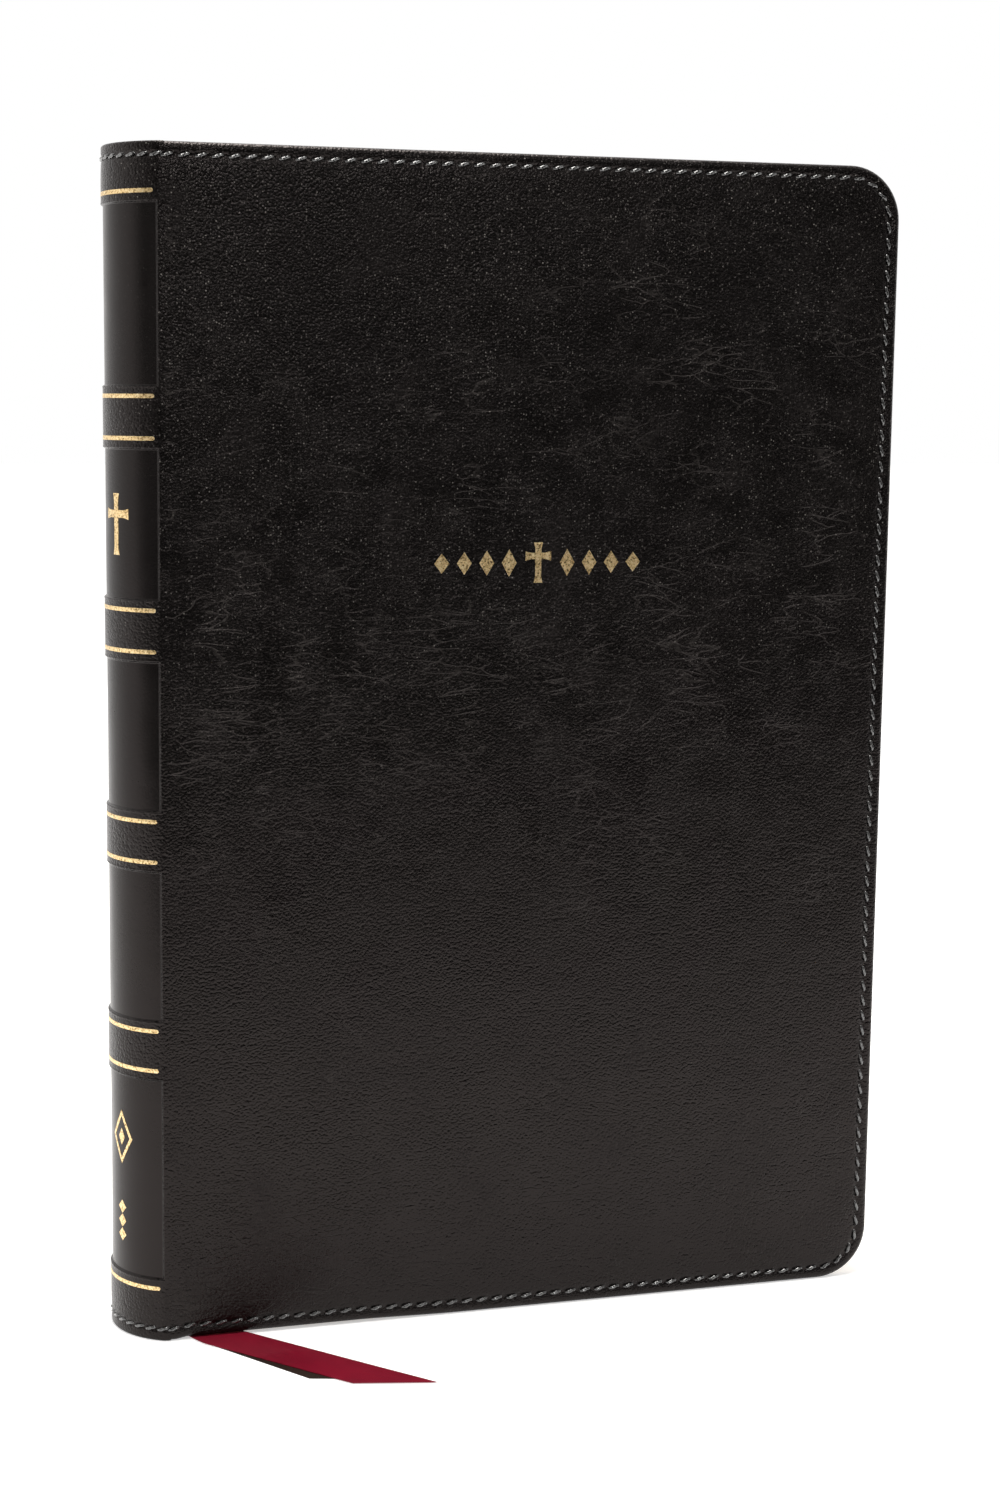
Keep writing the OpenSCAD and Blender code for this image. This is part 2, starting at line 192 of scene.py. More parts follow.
def leather(name, grain=1.0, wrinkle=1.0, gloss=0.2, colour=(0.0012, 0.00105, 0.001)):
    """Black pebbled leather with fine branching wrinkles, painted sheen on the wrinkle lines, and painted
    sparkle and painted glints in its base colour, all stronger towards its head as painted highlight.
    The mesh's attribute smooth flattens the grain, and its attribute plain leaves out the wrinkles."""
    g = Graph(name)
    at = g.place()
    rough = g.math("SUBTRACT", 1.0, g.times(g.attribute("smooth"), 0.9))
    height = g.node("SeparateXYZ", {0: at}).outputs["Z"]

    pebbles = g.cells(g.warp(at, 800.0, 0.0004), 1750.0)
    domes = g.math("SUBTRACT", 1.0, g.times(pebbles, pebbles))
    pits = g.noise(at, 3000.0, 2.0, 0.6)
    uneven = g.span(g.noise(at, 120.0, 3.0, 0.6), 0.3, 0.7, 0.55, 1.0)
    tall = g.times(g.math("ADD", g.times(domes, 0.8), g.times(pits, 0.45)), uneven)

    creased = g.warp(g.warp(g.place((0.34, 1, 1), (0, 0.42, 0)), 70.0, 0.014), 380.0, 0.0018)
    patches = g.band(at, 19.0, 0.38, 0.60, 3.0, 0.6)
    thin = g.times(g.edges(creased, 330.0, 0.04), g.times(g.band(at, 95.0, 0.45, 0.60, 3.0, 0.65), patches))
    long = g.times(g.edges(creased, 150.0, 0.02), g.times(g.band(at, 75.0, 0.5, 0.62), patches))
    wrinkles = g.times(g.math("MAXIMUM", thin, long), g.math("SUBTRACT", 1.0, g.attribute("plain")))

    grain_normal = g.bump(g.times(tall, rough), 0.00016 * grain)
    normal = g.bump(wrinkles, -0.00005 * wrinkle, 1.0, grain_normal)
    waves = g.bump(g.noise(at, 42.0, 2.0), 0.0009, 0.35, normal)
    shine = g.span(g.noise(at, 60.0, 4.0, 0.6), 0.3, 0.7, gloss - 0.03, gloss + 0.06)
    roughness = g.math("ADD", shine, g.times(pits, 0.08))

    worn = g.span(g.noise(at, 55.0, 5.0, 0.65), 0.35, 0.75)
    base = g.blend(worn, colour, tuple(c * 1.7 for c in colour))
    # Painted sheen: the wrinkle lines are painted lighter, more so towards the head, where the light catches
    # them.
    shown = g.times(wrinkles, g.span(height, 0.06, 0.16, 0.15 * wrinkle, 0.34 * wrinkle))
    with_painted_crease_sheen = g.blend(shown, base, (0.042, 0.038, 0.035))
    # Mask of the painted highlight: patchy, and stronger towards the head, where the light falls.
    cloudy = g.span(g.noise(at, 16.0, 2.0), 0.35, 0.6, 0.35, 1.0)
    painted_highlight_mask = g.times(g.span(height, 0.085, 0.225, 0.1, 1.0), cloudy)
    # Painted sparkle: fine light specks in the base colour that stand for glints of the grain.
    painted_sparkle = g.times(g.span(g.noise(at, 2300.0, 1.0, 0.5), 0.52, 0.72), painted_highlight_mask)
    with_painted_sparkle = g.blend(g.times(painted_sparkle, g.times(rough, 0.55 * grain)), with_painted_crease_sheen, (0.020, 0.018, 0.017))
    # Painted glints: bright dots in the base colour on a few grain cells, standing in for specular glints.
    glint_cells = g.node("TexVoronoi", {"Vector": at, "Scale": 1900.0})
    pick = g.node("SeparateColor", {"Color": glint_cells.outputs["Color"]}).outputs["Red"]
    glint = g.times(g.span(glint_cells.outputs["Distance"], 0.08, 0.36, 1.0, 0.0), g.math("POWER", pick, 7.0))
    glints = g.times(g.times(glint, painted_highlight_mask), g.times(rough, 0.5 * grain))
    lit = g.blend(glints, with_painted_sparkle, (0.5, 0.47, 0.43))
    g.set(Base_Color=lit, Roughness=roughness, Normal=waves, Specular_IOR_Level=0.27,
          Specular_Tint=(1.0, 0.87, 0.84, 1.0))
    return g.material


def gold_foil():
    """Stamped foil: warm metal with a glittery, slightly broken surface."""
    g = Graph("gold_foil")
    at = g.place()
    flakes = g.cells(at, 3800.0, "F1", "Color")
    grit = g.noise(at, 2400.0, 4.0, 0.7)
    base = g.ramp(grit, (0.36, (0.13, 0.08, 0.03)), (0.48, (0.80, 0.57, 0.27)), (0.7, (1.0, 0.86, 0.56)))
    normal = g.bump(g.math("ADD", grit, g.times(flakes, 0.6)), 0.00007, 0.8)
    g.set(Base_Color=base, Metallic=1.0, Roughness=g.span(grit, 0.3, 0.7, 0.24, 0.46), Normal=normal)
    return g.material


def thread(name, dark, light, gloss):
    """Waxed thread with fine fibres. The two plies are in the mesh."""
    g = Graph(name)
    at = g.place()
    fibres = g.noise(at, 5200.0, 3.0, 0.6)
    base = g.blend(g.span(fibres, 0.3, 0.7), dark, light)
    g.set(Base_Color=base, Roughness=g.span(fibres, 0.3, 0.7, gloss, gloss + 0.18),
          Normal=g.bump(fibres, 0.00004, 0.6), Specular_IOR_Level=0.6)
    g.set(Coat_Weight=1.0, Coat_Roughness=0.14, Coat_IOR=1.8)
    return g.material


def page_paper():
    """Thin bible paper: warm white with a faint mottle."""
    g = Graph("page_paper")
    at = g.place()
    mottle = g.noise(at, 180.0, 4.0, 0.6)
    base = g.blend(g.span(mottle, 0.3, 0.7), (0.80, 0.77, 0.69), (0.86, 0.83, 0.755))
    g.set(Base_Color=base, Roughness=0.72, Normal=g.bump(g.noise(at, 1800.0, 3.0), 0.00003, 0.4))
    return g.material


def gilt_edge():
    """Edges of the leaves, gilded: a fine stripe for each few leaves."""
    g = Graph("gilt_edge")
    leaves = g.noise(g.place((1, 60, 1)), 160.0, 3.0, 0.75)
    wear = g.noise(g.place((1, 8, 1)), 60.0, 4.0, 0.6)
    gold = g.ramp(leaves, (0.28, (0.36, 0.24, 0.09)), (0.5, (0.74, 0.54, 0.25)), (0.75, (0.92, 0.73, 0.42)))
    paper = g.times(g.span(wear, 0.62, 0.8), 0.45)
    base = g.blend(paper, gold, (0.80, 0.72, 0.55))
    g.set(Base_Color=base, Metallic=g.span(wear, 0.6, 0.85, 0.85, 0.5),
          Roughness=g.span(leaves, 0.3, 0.7, 0.3, 0.48), Normal=g.bump(leaves, 0.00012, 0.8))
    return g.material


def fibre_sheet(name, light, dark, scale=900.0, gloss=0.8):
    """Paper or board with visible fibres."""
    g = Graph(name)
    at = g.place()
    fibres = g.noise(g.warp(at, 300.0, 0.002), scale, 5.0, 0.7)
    base = g.blend(g.span(fibres, 0.3, 0.7), dark, light)
    g.set(Base_Color=base, Roughness=gloss, Normal=g.bump(fibres, 0.00006, 0.6))
    return g.material


def gauze():
    """Open weave of the mull."""
    g = Graph("mull_gauze")
    at = g.place()
    across = g.node("TexWave", {"Vector": at, "Scale": 700.0}, bands_direction="Z").outputs["Fac"]
    along = g.node("TexWave", {"Vector": at, "Scale": 700.0}, bands_direction="Y").outputs["Fac"]
    weave = g.math("MAXIMUM", across, along)
    base = g.blend(weave, (0.42, 0.39, 0.32), (0.80, 0.77, 0.68))
    g.set(Base_Color=base, Roughness=0.85, Normal=g.bump(weave, 0.0001, 0.8))
    return g.material


def satin(name, dark, light):
    """Satin ribbon: weft ribs across it, long floats along it, from the mesh's UVs in metres."""
    g = Graph(name)
    at = g.place(source="UV")
    ribs = g.node("TexWave", {"Vector": at, "Scale": 640.0, "Distortion": 0.6, "Detail": 2.0},
                  bands_direction="Y").outputs["Fac"]
    floats = g.noise(g.place((9000, 260, 1), source="UV"), 1.0, 2.0, 0.5)
    slub = g.noise(g.place((60, 60, 1), source="UV"), 1.0, 3.0, 0.6)
    tone = g.math("ADD", g.times(floats, 0.6), g.times(slub, 0.4))
    base = g.blend(g.span(tone, 0.3, 0.7), dark, light)
    height = g.math("ADD", g.times(ribs, 0.5), floats)
    g.set(Base_Color=base, Roughness=g.span(floats, 0.3, 0.7, 0.4, 0.55), Normal=g.bump(height, 0.00005, 0.6))
    g.set(Specular_IOR_Level=0.18, Sheen_Weight=0.06, Sheen_Roughness=0.3, Anisotropic=0.5)
    return g.material


def band_silk():
    """Woven stripes round a head band, from its UVs: gold and black."""
    g = Graph("band_silk")
    at = g.place(source="UV")
    stripes = g.node("TexWave", {"Vector": at, "Scale": 330.0}, bands_direction="X").outputs["Fac"]
    strands = g.noise(g.place((6000, 400, 1), source="UV"), 1.0, 2.0)
    base = g.ramp(stripes, (0.42, (0.015, 0.013, 0.012)), (0.58, (0.66, 0.46, 0.16)))
    g.set(Base_Color=base, Roughness=0.5, Normal=g.bump(strands, 0.00008, 0.7))
    g.set(Sheen_Weight=0.4)
    return g.material


LEATHER = leather("cover_leather")
LINING = leather("lining_leather", 0.45, 0.3, 0.5, (0.008, 0.0075, 0.0072))
GOLD = gold_foil()
BLACK_THREAD = thread("black_thread", (0.004, 0.004, 0.004), (0.016, 0.015, 0.014), 0.2)
LINEN_THREAD = thread("linen_thread", (0.60, 0.56, 0.45), (0.86, 0.82, 0.72), 0.6)
PAPER = page_paper()
GILT = gilt_edge()
BOARD = fibre_sheet("greyboard", (0.36, 0.33, 0.28), (0.20, 0.18, 0.15), 500.0)
KRAFT = fibre_sheet("kraft_paper", (0.42, 0.28, 0.15), (0.30, 0.19, 0.10))
ENDPAPER = fibre_sheet("endpaper", (0.022, 0.020, 0.020), (0.012, 0.011, 0.011), 1400.0, 0.62)
MULL = gauze()
RED_SATIN = satin("red_satin", (0.125, 0.002, 0.012), (0.26, 0.006, 0.024))
DARK_SATIN = satin("dark_satin", (0.014, 0.008, 0.006), (0.036, 0.021, 0.016))
SILK = band_silk()


# -------- mesh helpers
def smoothstep(t):
    t = np.clip(t, 0.0, 1.0)
    return t * t * (3 - 2 * t)


def make_object(name, points, faces, materials, slots=None, smooth=True, uvs=None, attributes=None):
    """A mesh object from points and faces. slots gives each face's material, uvs each point's UV."""
    mesh = bpy.data.meshes.new(name)
    mesh.from_pydata(np.asarray(points, float).tolist(), [], faces)
    for material in materials:
        mesh.materials.append(material)
    if slots is not None:
        mesh.polygons.foreach_set("material_index", slots)
    if uvs is not None:
        layer = mesh.uv_layers.new(name="UVMap")
        corners = np.zeros(len(mesh.loops), np.int32)
        mesh.loops.foreach_get("vertex_index", corners)
        layer.data.foreach_set("uv", np.asarray(uvs, np.float32)[corners].ravel())
    for key, values in (attributes or {}).items():
        layer = mesh.attributes.new(key, "FLOAT", "POINT")
        layer.data.foreach_set("value", np.asarray(values, np.float32))
    bm = bmesh.new()
    bm.from_mesh(mesh)
    bmesh.ops.recalc_face_normals(bm, faces=bm.faces)
    bm.to_mesh(mesh)
    bm.free()
    mesh.polygons.foreach_set("use_smooth", [smooth] * len(mesh.polygons))
    if smooth:
        mesh.set_sharp_from_angle(angle=math.radians(50))
    made = bpy.data.objects.new(name, mesh)
    bpy.context.scene.collection.objects.link(made)
    return made


def grid_faces(rows, columns, start=0, closed=False):
    """Quads of a grid stored row by row. closed joins the last column to the first."""
    last = columns if closed else columns - 1
    return [
        (start + r * columns + c, start + r * columns + (c + 1) % columns,
         start + (r + 1) * columns + (c + 1) % columns, start + (r + 1) * columns + c)
        for r in range(rows - 1) for c in range(last)
    ]


def tube_faces(rings, sides, start=0):
    """Faces of a tube stored ring by ring, with a cap on each end."""
    last = start + (rings - 1) * sides
    caps = [tuple(range(start, start + sides)), tuple(range(last, last + sides))]
    return grid_faces(rings, sides, start, True) + caps


def steps(low, high, size):
    """Even steps from low to high, about size apart."""
    return np.linspace(low, high, max(2, int(round((high - low) / size)) + 1))


class Plate:
    """A flat plate with round fore-edge corners. Its edge follows profile: (inset, depth) pairs from the
    outer face, round the edge, to the inner face. Each point has x, depth, z, inset and along."""

    def __init__(self, xs, zs, radius, profile, corner_steps=12):
        x1, z0, z1 = xs[-1] + radius, zs[0] - radius, zs[-1] + radius
        turns = [(math.sin(a), math.cos(a)) for a in np.linspace(0, math.pi / 2, corner_steps + 1)[1:-1]]
        edge = [((x, z0), (0, 1)) for x in xs]
        edge += [((xs[-1] + radius * s, zs[0] - radius * c), (-s, c)) for s, c in turns]
        edge += [((x1, z), (-1, 0)) for z in zs]
        edge += [((xs[-1] + radius * c, zs[-1] + radius * s), (-c, -s)) for s, c in turns]
        edge += [((x, z1), (0, -1)) for x in xs[::-1]]
        base, inward = (np.array([pair[i] for pair in edge], float) for i in (0, 1))
        count, rings = len(base), len(profile)
        run = np.r_[0, np.cumsum(np.linalg.norm(np.diff(base, axis=0), axis=1))]
        insets = np.array([p[0] for p in profile])
        depths = np.array([p[1] for p in profile])
        flat = base[None] + inward[None] * insets[:, None, None]
        deep = np.broadcast_to(depths[:, None], flat.shape[:2])
        points = [np.stack([flat[..., 0], deep, flat[..., 1]], -1).reshape(-1, 3)]
        inset = [np.repeat(insets, count)]
        along = [np.tile(run, rings)]
        self.faces = grid_faces(rings, count)
        self.edge_faces = len(self.faces)
        columns, rows = len(xs) + corner_steps, len(zs)
        start = rings * count
        ends = []
        for ring in (0, rings - 1):
            low = flat[ring, :columns]
            high = flat[ring, ::-1][:columns]
            index = np.zeros((columns, rows), int)
            index[:, 0] = ring * count + np.arange(columns)
            index[:, -1] = ring * count + count - 1 - np.arange(columns)
            index[-1, :] = ring * count + columns - 1 + np.arange(rows)
            inner = np.arange((columns - 1) * (rows - 2)).reshape(columns - 1, rows - 2)
            index[:-1, 1:-1] = start + inner
            share = np.linspace(0, 1, rows)[1:-1]
            mid = low[:-1, None] * (1 - share[None, :, None]) + high[:-1, None] * share[None, :, None]
            field = np.stack([mid[..., 0], np.full(mid.shape[:2], depths[ring]), mid[..., 1]], -1)
            points.append(field.reshape(-1, 3))
            inset.append(np.full(inner.size, max(insets[ring], 6 * MM)))
            along.append(np.zeros(inner.size))
            start += inner.size
            self.faces += [
                (index[i, j], index[i + 1, j], index[i + 1, j + 1], index[i, j + 1])
                for i in range(columns - 1) for j in range(rows - 1)
            ]
            ends.append(index[0])
        outer, inner = ends
        self.faces += [(outer[j], outer[j + 1], inner[j + 1], inner[j]) for j in range(rows - 1)]
        self.faces.append(tuple(r * count for r in range(rings)))
        self.faces.append(tuple(r * count + count - 1 for r in range(rings)))
        self.faces = [tuple(int(i) for i in f) for f in self.faces]
        self.x, self.depth, self.z = np.concatenate(points).T.copy()
        self.inset = np.concatenate(inset)
        self.along = np.concatenate(along)

    def points(self, side):
        """Points in the frame. side is -1 for the front cover's side and 1 for the back cover's."""
        return np.stack([self.x, side * (HALF_T - self.depth), self.z], -1)


def undulation(x, z):
    """Soft unevenness of padded leather, from -1 to 1."""
    return (np.sin(x / 0.021 + 1.3 * np.sin(z / 0.034)) * np.sin(z / 0.027 + 0.8)
            + 0.6 * np.sin(x / 0.0125 + z / 0.019 + 2.1)) / 1.6


def crown_share(inset):
    """0 on the border outside the seam, rising to 1 over the padded middle."""
    return smoothstep((inset - 3.4 * MM) / (3 * MM))


def round_edge(thickness, inset, count):
    """(inset, depth) pairs round a half circle of an edge of that thickness."""
    r = thickness / 2
    return [(inset + r * (1 - math.sin(a)), r * (1 - math.cos(a)))
            for a in np.linspace(0, math.pi, count + 1)]


# -------- covers
def cover_lift(x):
    """How high the front cover's tail edge stands over the markers under it."""
    return 0.42 * MM * smoothstep((x - JOINT_X - 1.2 * MM) / (3.2 * MM)) * (
        1 - smoothstep((x - JOINT_X - 40 * MM) / (24 * MM)))


def lift_tail(plate):
    plate.z += cover_lift(plate.x) * np.clip(1 - plate.z / (14 * MM), 0, 1)


def leather_depth(x):
    """Thickness of the leather with what it wraps: thin at the joint, full over the board."""
    return LEATHER_T + (COVER_LEATHER_T - LEATHER_T) * smoothstep((x - SEAM_X) / (2.4 * MM))


BEND_XS = np.arange(SEAM_X, BEND_END_X + 0.1 * MM, 0.25 * MM)


def cover_leather(side, name, nodes):
    """Leather of one cover, dented along its seam, padded inside it and rolled over at its edge."""
    flat = [(inset * MM, 0.0) for inset in (6, 5, 4.2, 3.7, 3.35, 3.05, 2.8, 2.6, 2.4, 2.15, 1.9, 1.6, 1.35)]
    turned = [(inset * MM, COVER_LEATHER_T) for inset in (2.5, 6)]
    profile = flat + round_edge(COVER_LEATHER_T, 0.0, 10) + turned
    third = STITCH_PITCH / 3
    xs = np.r_[BEND_XS, steps(BEND_END_X + 0.6 * MM, FORE_X - CORNER_R, third)]
    plate = Plate(xs, steps(CORNER_R, COVER_H - CORNER_R, third), CORNER_R, profile, 14)
    near = plate.depth < COVER_LEATHER_T / 2
    pinch = np.exp(-((plate.inset - SEAM_INSET) / (0.62 * MM)) ** 2)
    pull = 0.34 + 0.08 * np.cos(2 * math.pi * plate.along / STITCH_PITCH)
    crown = crown_share(plate.inset)
    soft = smoothstep((plate.x - BEND_END_X) / (8 * MM))
    joint = 1 - smoothstep((plate.x - SEAM_X) / (2 * MM))
    sunk = MM * (pull * pinch * (1 - joint * 0.4) + 0.07 * (1 - crown))
    plate.depth += np.where(near, sunk - 0.07 * MM * undulation(plate.x, plate.z) * crown * soft, 0)
    thinned = plate.depth * leather_depth(plate.x) / COVER_LEATHER_T
    plate.depth = np.where(near, plate.depth, thinned)
    if side < 0:
        lift_tail(plate)
    made = make_object(name, plate.points(side), plate.faces, [LEATHER])
    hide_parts(*nodes)
    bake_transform(made)


def cover_lining(side, name, node):
    """Inner side of one cover, inset a little from its edge."""
    xs = np.r_[BEND_XS, steps(BEND_END_X + MM, FORE_X - CORNER_R, 5 * MM)]
    profile = [(3 * MM, 0)] + round_edge(LINER_T, 0.3 * MM, 6) + [(3 * MM, LINER_T)]
    plate = Plate(xs, steps(CORNER_R, COVER_H - CORNER_R, 5 * MM), CORNER_R, profile)
    plate.depth += leather_depth(plate.x) - 0.02 * MM
    if side < 0:
        lift_tail(plate)
    made = make_object(name, plate.points(side), plate.faces, [LINING])
    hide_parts(node)
    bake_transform(made)


def endpaper_joint(side, name):
    """Fold of the endpaper between the cover's paste-down and the leaves."""
    cover_x, block_x = BEND_END_X + 0.2 * MM, JOINT_X + 5.9 * MM
    cover_y, block_y = HALF_T - 2.72 * MM, HALF_T - 2.83 * MM
    count = 25
    points = []
    for t in np.linspace(0, 1, count):
        x, y = block_x + t * (cover_x - block_x), block_y + t * (cover_y - block_y)
        points += [(x, side * y, PAGE_Z0 + MM), (x, side * y, PAGE_Z1 - MM)]
    points += [(x, y - side * 0.04 * MM, z) for x, y, z in points]
    faces = grid_faces(count, 2) + grid_faces(count, 2, 2 * count)
    faces += [(2 * i + s, 2 * i + 2 + s, 2 * count + 2 * i + 2 + s, 2 * count + 2 * i + s)
              for i in range(count - 1) for s in (0, 1)]
    faces += [(i, i + 1, i + 1 + 2 * count, i + 2 * count) for i in (0, 2 * count - 2)]
    made = make_object(name, points, faces, [ENDPAPER])
    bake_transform(made)


cover_leather(-1, "front_leather", ["front_cover_leather", "front_board"])
cover_leather(1, "back_leather", ["back_cover_leather", "back_board"])
cover_lining(-1, "front_lining", "front_liner")
cover_lining(1, "back_lining", "back_liner")
endpaper_joint(-1, "front_endpaper_joint")
endpaper_joint(1, "back_endpaper_joint")


# -------- spine
SHOULDER_RUN = SHOULDER_R * SHOULDER_TURN
ARC_RUN = ARC_R * (math.pi - 2 * SHOULDER_TURN)
SPINE_RUN = 2 * SHOULDER_RUN + ARC_RUN


def spine_frame(run):
    """Point and outward normal on the spine, run along its outer face from the front joint line."""
    run = np.asarray(run, float)
    angle = np.where(run < SHOULDER_RUN, run / SHOULDER_R,
                     SHOULDER_TURN + (run - SHOULDER_RUN) / ARC_R)
    past = run - SHOULDER_RUN - ARC_RUN
    angle = np.where(past > 0, math.pi - SHOULDER_TURN + past / SHOULDER_R, angle)
    angle = np.clip(angle, 0, math.pi)
    core = HALF_T - SHOULDER_R
    on_arc = (angle >= SHOULDER_TURN) & (angle <= math.pi - SHOULDER_TURN)
    radius = np.where(on_arc, ARC_R, SHOULDER_R)
    centre_x = np.where(on_arc, ARC_X, 0.0)
    centre_y = np.where(on_arc, 0.0, np.where(angle < math.pi / 2, -core, core))
    normal = np.stack([-np.sin(angle), -np.cos(angle)], -1)
    point = np.stack([centre_x, centre_y], -1) + normal * radius[..., None]
    point[..., 0] += JOINT_X + np.maximum(0, -run) + np.maximum(0, run - SPINE_RUN)
    return point, normal


def spine_points(run, depth, z):
    point, normal = spine_frame(run)
    flat = point - normal * np.asarray(depth)[..., None]
    return np.stack([flat[..., 0], flat[..., 1], z], -1)


def panel_gaps(run, z):
    """Distance inside the edge of each sunk panel, below 0 outside it."""
    side = np.minimum(run, SPINE_RUN - run) - PANEL_SIDE
    return [np.minimum(side, np.minimum(z - low, high - z)) for low, high in PANELS]


def panel_share(run, z):
    """1 in the sunk panels, 0 outside, with a bevel between."""
    return np.max([smoothstep(gap / PANEL_BEVEL) for gap in panel_gaps(run, z)], axis=0)


def spine_relief(run, z):
    """Depth of the spine's outer face below its plain outline."""
    rim = np.max([np.exp(-((gap + 0.12 * MM) / (0.16 * MM)) ** 2) for gap in panel_gaps(run, z)], axis=0)
    seam = np.minimum(z, COVER_H - z)
    pinch = np.exp(-((seam - SEAM_INSET) / (0.55 * MM)) ** 2)
    pull = 0.3 + 0.06 * np.cos(2 * math.pi * run / STITCH_PITCH)
    dents = 0.05 * MM * undulation(z, run * 2) * (1 - pinch)
    fade = smoothstep((np.minimum(run, SPINE_RUN - run) + 0.4 * MM) / (2 * MM))
    border = 0.07 * (1 - crown_share(seam))
    sunk = PANEL_DEPTH * panel_share(run, z)
    return sunk - 0.06 * MM * rim + MM * (pull * pinch + border) + dents * fade


def spine_leather():
    """Leather of the spine, in rows that follow its panels and seams, turned in at both ends."""
    fine = 0.2 * MM
    runs = np.r_[np.arange(-0.4 * MM, 2.2 * MM, fine), steps(2.2 * MM, SPINE_RUN - 2.2 * MM, 0.5 * MM),
                 np.arange(SPINE_RUN - 2.2 * MM + fine, SPINE_RUN + 0.5 * MM, fine)]
    runs[-1] = SPINE_RUN + 0.4 * MM
    rows = set(np.round(steps(1.2 * MM, COVER_H - 1.2 * MM, 1.3 * MM), 7))
    for z in [p for panel in PANELS for p in panel]:
        rows |= set(np.round(z + np.arange(-0.5, 0.75, 0.09) * MM, 7))
    for z in (SEAM_INSET, COVER_H - SEAM_INSET):
        rows |= set(np.round(z + np.arange(-1.2, 1.6, 0.2) * MM, 7))
    rows = np.array(sorted(rows))
    rows = rows[np.r_[True, np.diff(rows) > 0.03 * MM]]
    turn_in = LEATHER_T / 2
    tops = [(COVER_H - turn_in + turn_in * math.sin(a), turn_in - turn_in * math.cos(a))
            for a in np.linspace(0, math.pi, 9)]
    inside = [(z, LEATHER_T) for z in np.linspace(COVER_H - 3 * MM, 3 * MM, 40)]
    bottoms = [(turn_in - turn_in * math.sin(a), turn_in + turn_in * math.cos(a))
               for a in np.linspace(0, math.pi, 9)]
    loop = [(z, 0.0) for z in rows] + tops + inside + bottoms
    z, depth = (np.array([p[i] for p in loop]) for i in (0, 1))
    run_grid, z_grid = np.meshgrid(runs, z, indexing="ij")
    depth_grid = np.broadcast_to(depth, run_grid.shape).copy()
    outer = depth_grid < turn_in
    depth_grid += np.where(outer, spine_relief(run_grid, z_grid) * (1 - depth_grid / turn_in), 0)
    points = spine_points(run_grid, depth_grid, z_grid).reshape(-1, 3)
    smooth = np.where(outer, panel_share(run_grid, z_grid), 0).ravel()
    marks = {"smooth": smooth, "plain": np.ones(len(points))}
    made = make_object("spine_skin", points, tube_faces(len(runs), len(loop)), [LEATHER], attributes=marks)
    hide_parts("spine_leather")
    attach(made, "spine")


spine_leather()


# -------- gold foil
def gold_rules():
    """Rules across the spine, domed, with round ends."""
    start = SHOULDER_RUN + 0.35 * MM
    runs = np.r_[start + RULE_W / 2 * (1 - np.cos(np.linspace(0, math.pi / 2, 7))),
                 steps(start + RULE_W, SPINE_RUN - start - RULE_W, 0.5 * MM),
                 SPINE_RUN - start - RULE_W / 2 * (1 - np.cos(np.linspace(math.pi / 2, 0, 7)))]
    end = np.minimum(runs - start, SPINE_RUN - start - runs)
    half = np.sqrt(np.maximum(0, (RULE_W / 2) ** 2 - np.maximum(0, RULE_W / 2 - end) ** 2)) + 0.01 * MM
    side = np.array([-1, -0.92, -0.5, 0, 0.5, 0.92, 1])
    depth = np.array([0.1, -0.03, -0.045, -0.05, -0.045, -0.03, 0.1]) * MM
    run_grid = np.repeat(runs[:, None], len(side), 1)
    points, faces = [], []
    for z in RULES:
        z_grid = z + half[:, None] * side
        base = spine_relief(run_grid, z_grid)
        faces += tube_faces(len(runs), len(side), len(points))
        points += spine_points(run_grid, base + depth, z_grid).reshape(-1, 3).tolist()
    made = make_object("spine_rules", points, faces, [GOLD])
    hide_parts("spine_gold_rules")
    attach(made, "spine")


def cross_outline(height, width, bar):
    """Upright cross with arms that flare a little towards their ends."""
    arm_z, flare = height / 6, bar * 0.22
    b, w, h = bar / 2, width / 2, height / 2
    return [
        (-b - flare, -h), (b + flare, -h), (b, -h + bar), (b, arm_z - b), (w - bar, arm_z - b),
        (w, arm_z - b - flare), (w, arm_z + b + flare), (w - bar, arm_z + b), (b, arm_z + b), (b, h - bar),
        (b + flare, h), (-b - flare, h), (-b, h - bar), (-b, arm_z + b), (-w + bar, arm_z + b),
        (-w, arm_z + b + flare), (-w, arm_z - b - flare), (-w + bar, arm_z - b), (-b, arm_z - b),
        (-b, -h + bar),
    ]


def lozenge_outline(height, width, centre=(0, 0)):
    return [(centre[0], centre[1] - height / 2), (centre[0] + width / 2, centre[1]),
            (centre[0], centre[1] + height / 2), (centre[0] - width / 2, centre[1])]


def foil(name, outlines, place, cut, body, node):
    """Flat foil in the shape of outlines, in millimetres, with holes where they nest. place puts each point,
    given as across, up and height over the leather, in the frame. cut is the facets' width across."""
    curve = bpy.data.curves.new(name, "CURVE")
    curve.dimensions = "2D"
    curve.fill_mode = "BOTH"
    curve.extrude = 0.04
    curve.bevel_depth = 0.02
    for outline in outlines:
        spline = curve.splines.new("POLY")
        spline.points.add(len(outline) - 1)
        spline.use_cyclic_u = True
        for point, (u, v) in zip(spline.points, outline):
            point.co = (u, v, 0, 1)
    holder = bpy.data.objects.new(name, curve)
    bpy.context.scene.collection.objects.link(holder)
    mesh = bpy.data.meshes.new_from_object(holder.evaluated_get(bpy.context.evaluated_depsgraph_get()))
    bpy.data.objects.remove(holder)
    bpy.data.curves.remove(curve)
    bm = bmesh.new()
    bm.from_mesh(mesh)
    bmesh.ops.remove_doubles(bm, verts=bm.verts, dist=0.0005)
    reach = max(abs(v.co.x) for v in bm.verts)
    for at in np.arange(-reach, reach, cut):
        geometry = bm.verts[:] + bm.edges[:] + bm.faces[:]
        bmesh.ops.bisect_plane(bm, geom=geometry, plane_co=(at, 0, 0), plane_no=(1, 0, 0))
    points = place(np.array([v.co for v in bm.verts]) * MM)
    bm.verts.ensure_lookup_table()
    faces = [tuple(v.index for v in f.verts) for f in bm.faces]
    bm.free()
    made = make_object(name, points, faces, [GOLD], smooth=False)
    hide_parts(node)
    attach(made, body)


